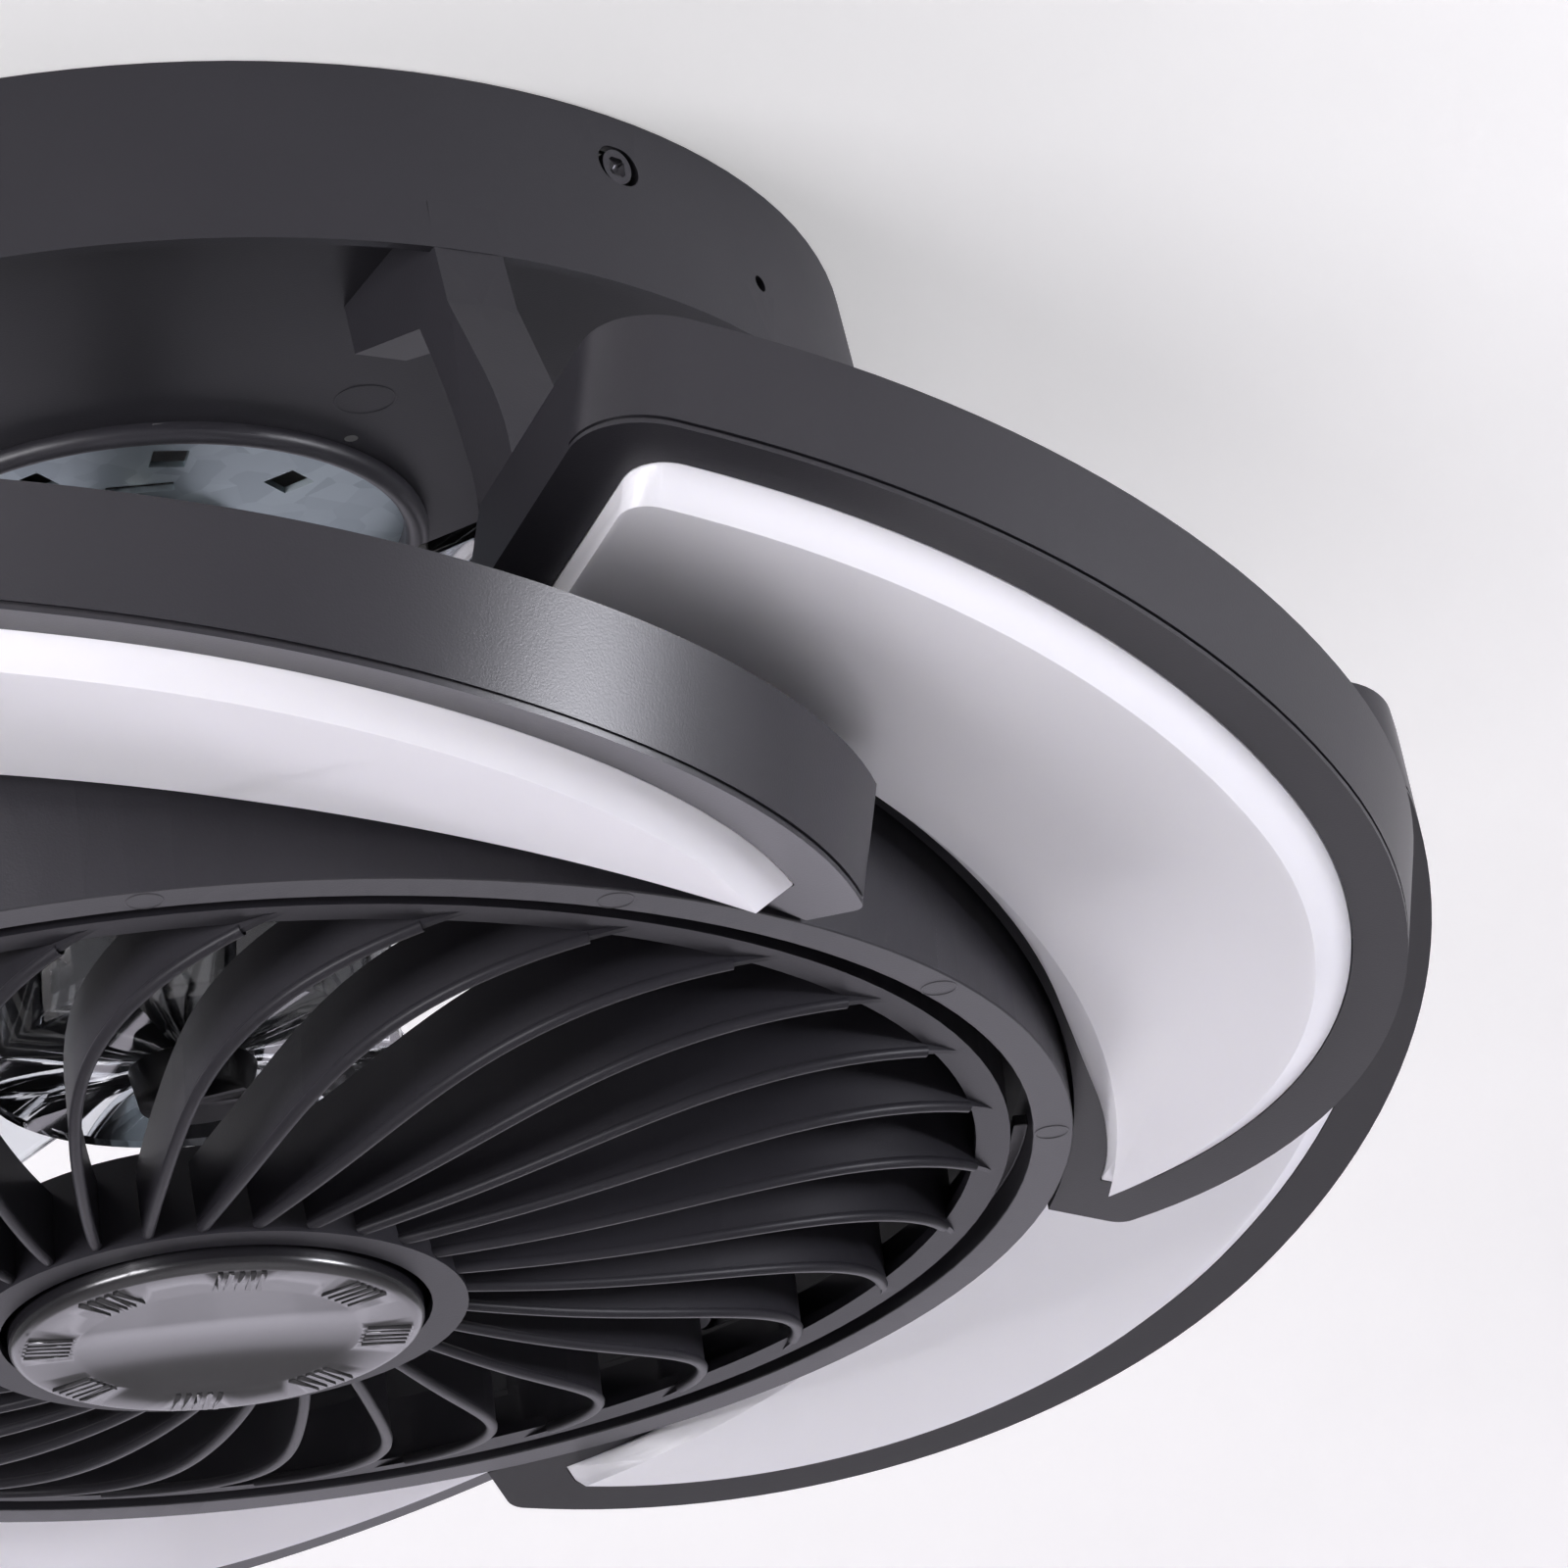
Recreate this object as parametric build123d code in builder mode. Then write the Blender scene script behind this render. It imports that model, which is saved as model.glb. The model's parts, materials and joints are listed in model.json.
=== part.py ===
"""Bladeless ceiling fan: an enclosed fan in a ring of six spiral lamp petals.

Millimetres. The origin is the centre of the ceiling face, on the fan's axis,
and the fan hangs down into negative Z.
"""
from build123d import *
from math import cos, degrees, radians, sin, tan
import os

os.makedirs("parts", exist_ok=True)

# Mouldings in general
wall = 2.5
seat_gap = 0.3
screw_shank_radius = 1.5
screw_head_radius = 2.8
screw_head_height = 1.8
screw_hole_clearance = 0.2

# Canopy: the shallow pan against the ceiling
canopy_top_radius = 160.0
canopy_bottom_radius = 165.0
canopy_height = 44.0
floor_depth = 34.0
motor_opening_radius = 58.0
opening_lip_width = 5.0
opening_lip_height = 4.0

# Arms from the canopy down to the duct ring
arm_count = 3
first_arm_azimuth = -64.25
arm_width = 16.0
arm_draft = 2.5
arm_parting_radius = 169.0
arm_kink = (168.0, 58.0)
arm_bend = (180.5, 82.0)
arm_knee_depth = 106.0
arm_waist = (169.4, 95.0)
arm_foot_length = 15.4
arm_pilot_depth = 5.0
arm_screw_end_gap = 0.5
gusset_root_radius = 118.0
gusset_inner = (121.3, 46.7)
gusset_outer = (153.6, 57.3)

# Ceiling bracket and the side screws that carry the canopy
bracket_azimuth = -48.8
bracket_width = 24.0
bracket_thickness = 1.8
bracket_tab_length = 20.0
bracket_tab_gap = 2.2
ceiling_hole_circle = 100.0
ceiling_hole_radius = 2.75
bracket_wire_hole_radius = 7.0
side_screw_depth = 12.8
side_screw_radius = 2.0
side_screw_head_radius = 4.0
side_screw_head_height = 4.2
side_screw_recess = (5.0, 1.1, 1.4)
side_slot_length = 11.2
side_slot_width = 9.4
vent_hole_azimuth = -33.7
vent_hole_depth = 27.5
vent_hole_radius = 1.9

# Galvanised plate that carries the motor
motor_plate_radius = 74.0
motor_plate_thickness = 1.5
plate_screw_circle = 132.0
plate_screw_count = 4
plate_screw_start = 45.0
plate_hole_size = 8.0
plate_hole_circle = 80.0
plate_hole_count = 8
plate_hole_start = 10.0
plate_slot_length = 15.0
plate_slot_width = 4.0
plate_slot_circle = 52.0
plate_slot_count = 3
plate_slot_start = -90.0

# Hanger tube and motor
hanger_flange_radius = 20.0
hanger_flange_thickness = 2.0
hanger_radius = 11.0
hanger_wall = 1.5
hanger_screw_circle = 30.0
hanger_screw_count = 3
hanger_screw_start = 30.0
motor_base_depth = 92.0
motor_base_radius = 42.0
motor_base_thickness = 3.0
bearing_tube_radius = 12.5
bearing_radius = 9.0
bearing_width = 6.0
shaft_radius = 4.0
running_clearance = 0.03
board_standoff = 3.0
board_radius = 36.0
board_thickness = 1.6
board_post_count = 3
board_post_inset = 6.0
board_post_radius = 2.0
stator_radius = 34.5
stator_height = 28.0
stator_top_depth = 108.0
stator_teeth = 9
stator_back_wall = 5.0
tooth_width = 7.0
tooth_shoe = 3.0
coil_wall = 2.0
coil_side_wall = 1.6
air_gap = 1.2
magnet_thickness = 5.0
can_wall = 2.0
can_floor = 3.0
can_top_depth = 98.0
can_height = 58.0
can_edge_round = 1.5
can_boss_wall = 4.0
can_boss_height = 6.0
clip_thickness = 1.0
clip_radius = 6.5

# Clear impeller
impeller_hub_wall = 2.6
blade_count = 7
blade_tip_radius = 150.0
blade_thickness = 2.2
blade_root_chord = 58.0
blade_tip_chord = 92.0
blade_root_pitch = 34.0
blade_tip_pitch = 24.0
blade_centre_depth = 116.0
blade_start_azimuth = 14.9
blade_sweep = 12.0
nut_radius = 14.0
nut_height = 8.0
nut_floor = 2.0
nut_taper = 12.0

# Duct ring, which the arms carry
duct_outer_radius = 187.0
duct_top_depth = 150.0
duct_bottom_depth = 196.5
duct_flange_width = 19.0
ring_face_width = 8.7
collar_height = 16.5
ledge_count = 4
ledge_arc = 44.0
ledge_thickness = 2.5
ledge_depth = 187.5
ledge_reach = 3.1
stop_arc = 1.2
stop_height = 3.0

# Lead conduit from the canopy floor to the duct ring
conduit_azimuth = 92.0
conduit_radius = 2.5
conduit_top_radius = 154.0
conduit_overrun = 4.0

# Lamp petals: two arcs between a start line and a tip line, on a tilted rim plane
petal_count = 6
petal_gap = 1.0
petal_axis_depth = 152.6
petal_slope_x = -0.208
petal_slope_y = -0.1461
petal_side_offset = 57.9
petal_side_azimuth = -39.8
petal_side_radius = 220.4
petal_tail_azimuth = -29.6
petal_tail_radius = 150.5
petal_start_azimuth = -72.3
petal_tip_azimuth = 11.1
petal_root_radius = 150.0
petal_start_corner = 17.0
petal_tip_corner = 6.0
petal_depth = 25.2
petal_rim_width = 11.5
petal_start_rim_width = 12.4
petal_tip_rim_width = 17.0
petal_inner_rim_width = 8.0
petal_screw_azimuths = (-33.0, -8.0)
petal_boss_radius = 4.5
diffuser_drop = 6.0
diffuser_slope_width = 7.0
diffuser_start_slope_width = 1.0
diffuser_tip_slope_width = 3.0
diffuser_start_corner = 10.0
diffuser_tip_corner = 2.0
diffuser_face_corner = 7.0
diffuser_wall = 2.0
diffuser_seat = 2.0
board_margin = 9.0
led_board_thickness = 1.6

# Grille with swirled vanes
grille_ring_gap = 4.9
grille_ring_width = 7.4
grille_face_depth = 196.0
grille_skirt_wall = 2.4
grille_skirt_height = 11.5
lug_arc = 10.0
lug_end_gap = 2.0
lug_thickness = 2.2
lug_reach = 4.1
vane_count = 29
vane_thickness = 2.4
vane_depth = 16.0
vane_curve_start = 52.0
vane_curve_length = 118.0
vane_root_azimuth = -104.1
vane_sweep = 33.2
vane_bow = 11.0
vane_sway = 26.3
vane_curve_steps = 6
vane_root_depth = 216.5
vane_middle_radius = 111.0
vane_middle_depth = 211.3
vane_rim_depth = 195.4
hub_radius = 54.1
hub_face_width = 7.7
hub_face_depth = 217.7
hub_height = 21.0
hub_draft = 3.0
hub_plate_depth = 203.0
hub_wall_top = 4.0
hub_wall_foot = 3.0

# Centre cap
cap_gap = 1.9
cap_face_depth = 221.8
cap_edge_round = 2.5
cap_wall = 2.0
cap_face_wall = 3.5
cap_recess_radius = 30.7
cap_recess_depth = 0.8
cap_rib_groups = 8
cap_rib_start = 9.0
cap_ribs_per_group = 5
cap_rib_width = 1.2
cap_rib_pitch = 2.3
cap_rib_height = 0.5
cap_rib_length = 9.5

# Electrics on the canopy floor
driver_size = (108.0, 38.0, 22.0)
receiver_size = (78.0, 40.0, 17.0)
terminal_size = (34.0, 17.0, 13.0)
electrics_margin = 3.0
case_corner = 3.0
case_chamfer = 1.0
terminal_turn = 55.0


def polar(radius, azimuth, z=0.0):
    """A point at a radius and an azimuth about the fan's axis."""
    return (radius * cos(radians(azimuth)), radius * sin(radians(azimuth)), z)


def side_plane(azimuth):
    """A plane through the axis: local x runs outwards and local y upwards."""
    return Plane(
        origin=(0, 0, 0),
        x_dir=polar(1, azimuth),
        z_dir=(sin(radians(azimuth)), -cos(radians(azimuth)), 0),
    )


def outward_plane(radius, azimuth, z):
    """A plane facing outwards: local x is level and local y points up."""
    return Plane(
        origin=polar(radius, azimuth, z),
        x_dir=(-sin(radians(azimuth)), cos(radians(azimuth)), 0),
        z_dir=polar(1, azimuth),
    )


def save(part, name):
    """Label a finished piece and write it to its own file."""
    part.label = name
    export_step(part, f"parts/{name}.step")


def canopy_radius(depth):
    """Outer radius of the canopy's drafted wall at a depth below the ceiling."""
    flare = canopy_bottom_radius - canopy_top_radius
    return canopy_top_radius + flare * depth / canopy_height


floor_top_depth = floor_depth - wall
duct_inner_radius = duct_outer_radius - wall
duct_throat_radius = duct_outer_radius - duct_flange_width
collar_radius = duct_outer_radius - ring_face_width
opposite_azimuths = (0.0, 180.0)
arm_azimuths = [first_arm_azimuth + i * 360 / arm_count for i in range(arm_count)]

# One arm: its side profile, within a plan drafted both ways from the parting line
arm_outer_radius = duct_outer_radius - seat_gap
arm_foot_inner_radius = arm_outer_radius - arm_foot_length
arm_root_depth = floor_depth - wall / 2
arm_half_width = arm_width / 2
arm_inner_half = arm_half_width - (arm_parting_radius - gusset_root_radius) * tan(radians(arm_draft))
arm_outer_half = arm_half_width - (arm_outer_radius - arm_parting_radius) * tan(radians(arm_draft))

with BuildPart() as arm:
    with BuildSketch(side_plane(0)):
        with BuildLine():
            Polyline(
                (gusset_root_radius, -arm_root_depth),
                (canopy_bottom_radius - wall / 2, -arm_root_depth),
                (canopy_bottom_radius - seat_gap, -canopy_height),
                (arm_kink[0], -arm_kink[1]),
            )
            Spline(
                (arm_kink[0], -arm_kink[1]),
                (arm_bend[0], -arm_bend[1]),
                (arm_outer_radius, -arm_knee_depth),
                tangents=[(1, -2), (0, -1)],
            )
            Polyline(
                (arm_outer_radius, -arm_knee_depth),
                (arm_outer_radius, -duct_top_depth),
                (arm_foot_inner_radius, -duct_top_depth),
                (arm_foot_inner_radius, -arm_knee_depth),
            )
            Spline(
                (arm_foot_inner_radius, -arm_knee_depth),
                (arm_waist[0], -arm_waist[1]),
                (gusset_outer[0], -gusset_outer[1]),
                tangents=[(0, 1), (-1, 2)],
            )
            Polyline(
                (gusset_outer[0], -gusset_outer[1]),
                (gusset_inner[0], -gusset_inner[1]),
                (gusset_root_radius, -arm_root_depth),
            )
        make_face()
    extrude(amount=arm_width, both=True)
    with BuildSketch(Plane.XY):
        Polygon(
            (gusset_root_radius, -arm_inner_half),
            (arm_parting_radius, -arm_half_width),
            (arm_outer_radius, -arm_outer_half),
            (arm_outer_radius, arm_outer_half),
            (arm_parting_radius, arm_half_width),
            (gusset_root_radius, arm_inner_half),
            align=None,
        )
    extrude(amount=-duct_top_depth, mode=Mode.INTERSECT)

# Upper housing: canopy wall, floor with a lipped opening, and the arms
through_wall = 6 * wall
hole_start_radius = canopy_top_radius - through_wall / 2
with BuildPart() as upper_housing:
    with BuildSketch(Plane.XZ):
        with BuildLine():
            lip_outer = motor_opening_radius + opening_lip_width
            lip_inner_level = -floor_depth - opening_lip_height / 3
            Polyline(
                (motor_opening_radius, lip_inner_level),
                (motor_opening_radius, -floor_top_depth),
                (canopy_radius(floor_top_depth) - wall, -floor_top_depth),
                (canopy_top_radius - wall, 0),
                (canopy_top_radius, 0),
                (canopy_bottom_radius, -canopy_height),
                (canopy_bottom_radius - wall, -canopy_height),
                (canopy_radius(floor_depth) - wall, -floor_depth),
                (lip_outer, -floor_depth),
            )
            ThreePointArc(
                (lip_outer, -floor_depth),
                (motor_opening_radius + opening_lip_width / 2, -floor_depth - opening_lip_height),
                (motor_opening_radius, lip_inner_level),
            )
        make_face()
    revolve(axis=Axis.Z)
    with PolarLocations(0, arm_count, start_angle=first_arm_azimuth):
        add(arm.part)
    # Oval clearance holes for the side screws, and the small plain holes
    for turn in opposite_azimuths:
        with BuildSketch(outward_plane(hole_start_radius, bracket_azimuth + turn, -side_screw_depth)):
            SlotOverall(side_slot_length, side_slot_width)
        with BuildSketch(outward_plane(hole_start_radius, vent_hole_azimuth + turn, -vent_hole_depth)):
            Circle(vent_hole_radius)
        extrude(amount=through_wall, mode=Mode.SUBTRACT)
    # Pilot holes in the floor for the motor plate, and in the feet of the arms
    with Locations((0, 0, -floor_depth)):
        with PolarLocations(plate_screw_circle / 2, plate_screw_count, start_angle=plate_screw_start):
            Cylinder(screw_shank_radius, 2 * wall, mode=Mode.SUBTRACT)
    for azimuth in arm_azimuths:
        with Locations(polar(arm_outer_radius - arm_foot_length / 2, azimuth, -duct_top_depth)):
            Cylinder(screw_shank_radius, 2 * arm_pilot_depth, mode=Mode.SUBTRACT)
save(upper_housing.part, "upper_housing")

# Ceiling bracket: a folded steel strap with its two end tabs
tab_outer_radius = canopy_radius(side_screw_depth) - wall - bracket_tab_gap
with BuildPart() as mounting_bracket:
    with BuildSketch(side_plane(bracket_azimuth)):
        with BuildLine():
            inner = tab_outer_radius - bracket_thickness
            Polyline(
                (-tab_outer_radius, 0),
                (tab_outer_radius, 0),
                (tab_outer_radius, -bracket_tab_length),
                (inner, -bracket_tab_length),
                (inner, -bracket_thickness),
                (-inner, -bracket_thickness),
                (-inner, -bracket_tab_length),
                (-tab_outer_radius, -bracket_tab_length),
                (-tab_outer_radius, 0),
            )
        make_face()
    extrude(amount=bracket_width / 2, both=True)
    with BuildSketch(Plane.XY):
        Circle(bracket_wire_hole_radius)
        with PolarLocations(ceiling_hole_circle / 2, 2, start_angle=bracket_azimuth):
            Circle(ceiling_hole_radius)
    extrude(amount=-2 * bracket_thickness, mode=Mode.SUBTRACT)
    for turn in opposite_azimuths:
        with BuildSketch(outward_plane(tab_outer_radius, bracket_azimuth + turn, -side_screw_depth)):
            Circle(side_screw_radius)
        extrude(amount=-2 * bracket_thickness, mode=Mode.SUBTRACT)
save(mounting_bracket.part, "mounting_bracket")

# Pan-head side screws, standing in the canopy's oval holes
with BuildPart() as side_screws:
    for turn in opposite_azimuths:
        seat = outward_plane(tab_outer_radius, bracket_azimuth + turn, -side_screw_depth)
        with BuildSketch(seat):
            Circle(side_screw_head_radius)
        extrude(amount=side_screw_head_height)
        with BuildSketch(seat):
            Circle(side_screw_radius)
        extrude(amount=-3 * bracket_thickness)
        recess_length, recess_width, recess_depth = side_screw_recess
        with BuildSketch(seat.offset(side_screw_head_height)):
            Rectangle(recess_length, recess_width, rotation=45)
            Rectangle(recess_width, recess_length, rotation=45)
        extrude(amount=-recess_depth, mode=Mode.SUBTRACT)
save(side_screws.part, "side_screws")

# Galvanised motor plate with its punched square and L-shaped holes
with BuildPart() as motor_plate:
    with BuildSketch(Plane.XY.offset(-floor_top_depth)):
        Circle(motor_plate_radius)
        with PolarLocations(plate_screw_circle / 2, plate_screw_count, start_angle=plate_screw_start):
            Circle(screw_shank_radius + screw_hole_clearance, mode=Mode.SUBTRACT)
        with PolarLocations(plate_hole_circle / 2, plate_hole_count, start_angle=plate_hole_start):
            Rectangle(plate_hole_size, plate_hole_size, mode=Mode.SUBTRACT)
        with PolarLocations(hanger_screw_circle / 2, hanger_screw_count, start_angle=hanger_screw_start):
            Circle(screw_shank_radius, mode=Mode.SUBTRACT)
        with PolarLocations(plate_slot_circle / 2, plate_slot_count, start_angle=plate_slot_start):
            Rectangle(plate_slot_width, plate_slot_length, mode=Mode.SUBTRACT)
        Circle(hanger_radius - hanger_wall, mode=Mode.SUBTRACT)
    extrude(amount=motor_plate_thickness)
save(motor_plate.part, "motor_plate")

with BuildPart() as motor_plate_screws:
    with PolarLocations(plate_screw_circle / 2, plate_screw_count, start_angle=plate_screw_start):
        with Locations((0, 0, -floor_top_depth + motor_plate_thickness)):
            Cylinder(screw_head_radius, screw_head_height, align=(Align.CENTER, Align.CENTER, Align.MIN))
            Cylinder(
                screw_shank_radius,
                motor_plate_thickness + wall,
                align=(Align.CENTER, Align.CENTER, Align.MAX),
            )
save(motor_plate_screws.part, "motor_plate_screws")

# Hanger tube between the plate and the motor
hanger_top = -floor_top_depth
with BuildPart() as hanger_tube:
    with BuildSketch(Plane.XY.offset(hanger_top)):
        Circle(hanger_flange_radius)
        with PolarLocations(hanger_screw_circle / 2, hanger_screw_count, start_angle=hanger_screw_start):
            Circle(screw_shank_radius + screw_hole_clearance, mode=Mode.SUBTRACT)
    extrude(amount=-hanger_flange_thickness)
    with BuildSketch(Plane.XY.offset(hanger_top)):
        Circle(hanger_radius)
    extrude(amount=-(motor_base_depth - floor_top_depth))
    with BuildSketch(Plane.XY.offset(hanger_top)):
        Circle(hanger_radius - hanger_wall)
    extrude(amount=-(motor_base_depth - floor_top_depth), mode=Mode.SUBTRACT)
save(hanger_tube.part, "hanger_tube")

with BuildPart() as hanger_screws:
    with PolarLocations(hanger_screw_circle / 2, hanger_screw_count, start_angle=hanger_screw_start):
        with Locations((0, 0, hanger_top - hanger_flange_thickness)):
            Cylinder(screw_head_radius, screw_head_height, align=(Align.CENTER, Align.CENTER, Align.MAX))
            Cylinder(
                screw_shank_radius,
                hanger_flange_thickness + motor_plate_thickness,
                align=(Align.CENTER, Align.CENTER, Align.MIN),
            )
save(hanger_screws.part, "hanger_screws")

# Motor base: the fixed end disc with its bearing tube and board posts
base_bottom = -motor_base_depth - motor_base_thickness
stator_bottom_depth = stator_top_depth + stator_height
bearing_tube_bottom = -(stator_bottom_depth + bearing_width)
with BuildPart() as motor_base:
    with BuildSketch(Plane.XY.offset(-motor_base_depth)):
        Circle(motor_base_radius)
    extrude(amount=-motor_base_thickness)
    with BuildSketch(Plane.XY.offset(base_bottom)):
        Circle(bearing_tube_radius)
        Circle(bearing_radius, mode=Mode.SUBTRACT)
    extrude(amount=bearing_tube_bottom - base_bottom)
    with BuildSketch(Plane.XY.offset(base_bottom)):
        with PolarLocations(board_radius - board_post_inset, board_post_count):
            Circle(board_post_radius)
    extrude(amount=-board_standoff)
save(motor_base.part, "motor_base")

with BuildPart() as motor_board:
    with BuildSketch(Plane.XY.offset(base_bottom - board_standoff)):
        Circle(board_radius)
        Circle(bearing_tube_radius + seat_gap, mode=Mode.SUBTRACT)
    extrude(amount=-board_thickness)
save(motor_board.part, "motor_board")

# Bearings in their tube
upper_bearing_top = base_bottom - clip_thickness - 4 * seat_gap
bearing_tops = {"upper_bearing": upper_bearing_top, "lower_bearing": bearing_tube_bottom + bearing_width}
for name, top in bearing_tops.items():
    with BuildPart() as bearing:
        with BuildSketch(Plane.XY.offset(top)):
            Circle(bearing_radius)
            Circle(shaft_radius + running_clearance, mode=Mode.SUBTRACT)
        extrude(amount=-bearing_width)
    save(bearing.part, name)

# Stator: toothed core and its coils
tooth_length = stator_radius - bearing_tube_radius
with BuildPart() as stator_core:
    with BuildSketch(Plane.XY.offset(-stator_top_depth)):
        Circle(bearing_tube_radius + stator_back_wall)
        with PolarLocations(bearing_tube_radius + tooth_length / 2, stator_teeth):
            Rectangle(tooth_length, tooth_width)
        with PolarLocations(stator_radius - tooth_shoe / 2, stator_teeth):
            Rectangle(tooth_shoe, tooth_width + 2 * coil_wall)
        Circle(bearing_tube_radius, mode=Mode.SUBTRACT)
    extrude(amount=-stator_height)
save(stator_core.part, "stator_core")

coil_inner_radius = bearing_tube_radius + stator_back_wall + seat_gap
coil_outer_radius = stator_radius - tooth_shoe - seat_gap
coil_length = coil_outer_radius - coil_inner_radius
with BuildPart() as stator_coils:
    with Locations((0, 0, -stator_top_depth - stator_height / 2)):
        with PolarLocations((coil_inner_radius + coil_outer_radius) / 2, stator_teeth):
            Box(coil_length, tooth_width + 2 * coil_side_wall, stator_height + 2 * coil_wall)
            Box(2 * coil_length, tooth_width, stator_height, mode=Mode.SUBTRACT)
save(stator_coils.part, "stator_coils")

# Rotor: shaft, clip, can and magnet ring
magnet_inner_radius = stator_radius + air_gap
can_radius = magnet_inner_radius + magnet_thickness + can_wall
can_bottom = -(can_top_depth + can_height)
hub_bottom = can_bottom - seat_gap - impeller_hub_wall
nut_bottom = hub_bottom - nut_height
with BuildPart() as rotor_shaft:
    with BuildSketch(Plane.XY.offset(base_bottom - seat_gap)):
        Circle(shaft_radius)
    extrude(amount=nut_bottom + nut_floor - (base_bottom - seat_gap))
save(rotor_shaft.part, "rotor_shaft")

clip_top = base_bottom - 2 * seat_gap
with BuildPart() as shaft_clip:
    with BuildSketch(Plane.XY.offset(clip_top)):
        Circle(clip_radius)
        Circle(shaft_radius, mode=Mode.SUBTRACT)
    extrude(amount=-clip_thickness)
save(shaft_clip.part, "shaft_clip")

with BuildPart() as rotor_can:
    with BuildSketch(Plane.XZ):
        with BuildLine():
            Polyline(
                (shaft_radius, can_bottom),
                (can_radius, can_bottom),
                (can_radius, -can_top_depth),
                (can_radius - can_wall, -can_top_depth),
                (can_radius - can_wall, can_bottom + can_floor),
                (shaft_radius + can_boss_wall, can_bottom + can_floor),
                (shaft_radius + can_boss_wall, can_bottom + can_boss_height),
                (shaft_radius, can_bottom + can_boss_height),
                (shaft_radius, can_bottom),
            )
        make_face()
    revolve(axis=Axis.Z)
    bottom_edges = rotor_can.edges().filter_by(GeomType.CIRCLE).group_by(Axis.Z)[0]
    fillet(bottom_edges.sort_by(SortBy.RADIUS)[-1], can_edge_round)
save(rotor_can.part, "rotor_can")

with BuildPart() as magnet_ring:
    with BuildSketch(Plane.XY.offset(-stator_top_depth)):
        Circle(magnet_inner_radius + magnet_thickness)
        Circle(magnet_inner_radius, mode=Mode.SUBTRACT)
    extrude(amount=-stator_height)
save(magnet_ring.part, "magnet_ring")

# Clear impeller: a cup over the can with swept, twisted blades
hub_inner_radius = can_radius + seat_gap
hub_outer_radius = hub_inner_radius + impeller_hub_wall
blade_root_radius = hub_inner_radius + impeller_hub_wall / 2
blade_tip_azimuth = blade_start_azimuth + blade_sweep
blade_edge_round = 0.45 * blade_thickness


def blade_station(radius, pitch, lead):
    """A blade's section plane at a radius: local x runs along the chord."""
    level = Vector(-sin(radians(lead)), cos(radians(lead)), 0)
    chord_dir = level * cos(radians(pitch)) + Vector(0, 0, 1) * sin(radians(pitch))
    return Plane(
        origin=polar(radius, lead, -blade_centre_depth),
        x_dir=chord_dir,
        z_dir=polar(1, lead),
    )


with BuildPart() as fan_impeller:
    with BuildSketch(blade_station(blade_root_radius, blade_root_pitch, blade_start_azimuth)):
        RectangleRounded(blade_root_chord, blade_thickness, blade_edge_round)
    with BuildSketch(blade_station(blade_tip_radius, blade_tip_pitch, blade_tip_azimuth)):
        RectangleRounded(blade_tip_chord, blade_thickness, blade_edge_round)
    loft(ruled=True)
    blade = fan_impeller.part
    with Locations(*[Location((0, 0, 0), (0, 0, i * 360 / blade_count)) for i in range(1, blade_count)]):
        add(blade)
    with BuildSketch(Plane.XZ):
        with BuildLine():
            Polyline(
                (shaft_radius, hub_bottom),
                (hub_outer_radius, hub_bottom),
                (hub_outer_radius, -can_top_depth - can_wall),
                (hub_inner_radius, -can_top_depth - can_wall),
                (hub_inner_radius, can_bottom - seat_gap),
                (shaft_radius, can_bottom - seat_gap),
                (shaft_radius, hub_bottom),
            )
        make_face()
    revolve(axis=Axis.Z)
    with BuildSketch(Plane.XY.offset(-can_top_depth)):
        Circle(hub_inner_radius)
    extrude(amount=can_bottom - seat_gap + can_top_depth, mode=Mode.SUBTRACT)
save(fan_impeller.part, "fan_impeller")

with BuildPart() as impeller_nut:
    with BuildSketch(Plane.XY.offset(hub_bottom)):
        Circle(nut_radius)
    extrude(amount=-nut_height, taper=nut_taper)
    with BuildSketch(Plane.XY.offset(hub_bottom)):
        Circle(shaft_radius)
    extrude(amount=-(nut_height - nut_floor), mode=Mode.SUBTRACT)
save(impeller_nut.part, "impeller_nut")

# Where the lamp petals stand: one tilted plane, turned round the axis
petal_inner_radius = duct_outer_radius + petal_gap
petal_normal = (-petal_slope_x, -petal_slope_y, 1)
petal_screw_seat = (duct_inner_radius**2 - screw_head_radius**2) ** 0.5
petal_screw_length = 3 * wall
petal_rim_plane = Plane(origin=(0, 0, -petal_axis_depth), x_dir=(1, 0, petal_slope_x), z_dir=petal_normal)


def petal_level(x, y):
    """Height of the petal's rim plane over a point of the first petal."""
    return -petal_axis_depth + petal_slope_x * x + petal_slope_y * y


def petal_screw_place(azimuth, turn=0.0):
    """Where a petal screw crosses the duct wall, at the petal's mid-height."""
    x, y, _ = polar(petal_inner_radius, azimuth)
    return outward_plane(petal_screw_seat, azimuth + turn, petal_level(x, y) + petal_depth / 2)


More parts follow.
